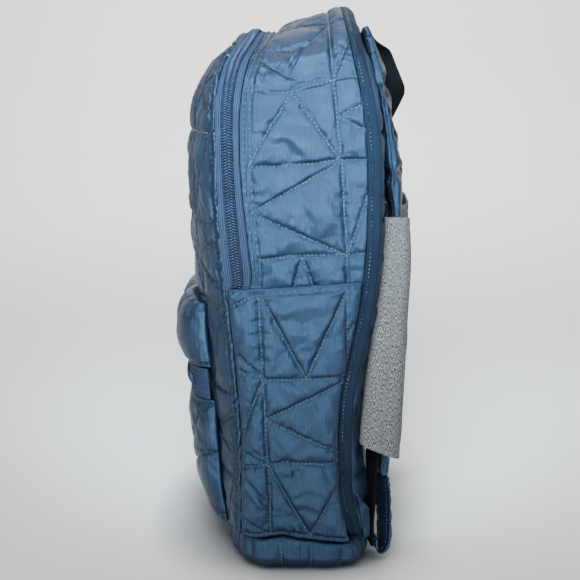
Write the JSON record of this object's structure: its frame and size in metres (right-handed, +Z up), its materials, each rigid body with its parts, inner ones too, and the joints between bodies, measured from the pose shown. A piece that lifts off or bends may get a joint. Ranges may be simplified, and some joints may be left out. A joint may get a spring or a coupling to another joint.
{
  "type": "quilted puffer backpack",
  "caption": "Soft quilted backpack with arched zip opening, puffed front pocket, open side pockets, padded straps with heather sleeves and a top grab loop.",
  "frame": {"origin": "centre of the footprint of the whole bag's box, on the surface it stands on", "axes": "+Z up, -Y the front with the puffed pocket, +Y the back with the straps, +X the side seen in the picture"},
  "size_m": [0.2892, 0.193, 0.4198],
  "materials": {
    "quilt_blue": "satin, quilted nylon",
    "shade_blue": "satin nylon",
    "zip_tape": "woven polyester",
    "zip_coil": "moulded nylon coil",
    "binding": "folded tape",
    "strap_navy": "satin nylon",
    "heather": "brushed heather jersey",
    "webbing_black": "woven webbing",
    "webbing_charcoal": "textured webbing",
    "slider_metal": "dark painted zinc",
    "plate_plastic": "plain moulded plastic"
  },
  "bodies": {
    "root": {"front_panel": "quilt_blue", "side_band": "quilt_blue", "back_panel": "shade_blue", "back_binding": "binding", "main_zipper_tape": "zip_tape", "main_zipper_coil": "zip_coil", "main_zipper_slider": "slider_metal", "bottom_panel": "quilt_blue", "side_pocket_right": "quilt_blue", "side_pocket_left": "quilt_blue", "front_pocket_top": "quilt_blue", "front_pocket_lower": "quilt_blue", "pocket_zipper_tape": "zip_tape", "pocket_zipper_coil": "zip_coil", "pocket_zipper_slider": "slider_metal", "grab_handle": "webbing_charcoal", "shoulder_strap_right": "strap_navy", "strap_sleeve_right": "heather", "strap_webbing_right": "webbing_black", "strap_tail_right": "strap_navy", "strap_adjuster_right": "plate_plastic", "webbing_tab_right": "shade_blue", "shoulder_strap_left": "strap_navy", "strap_sleeve_left": "heather", "strap_webbing_left": "webbing_black", "strap_tail_left": "strap_navy", "strap_adjuster_left": "plate_plastic", "webbing_tab_left": "shade_blue"}
  },
  "joints": []
}
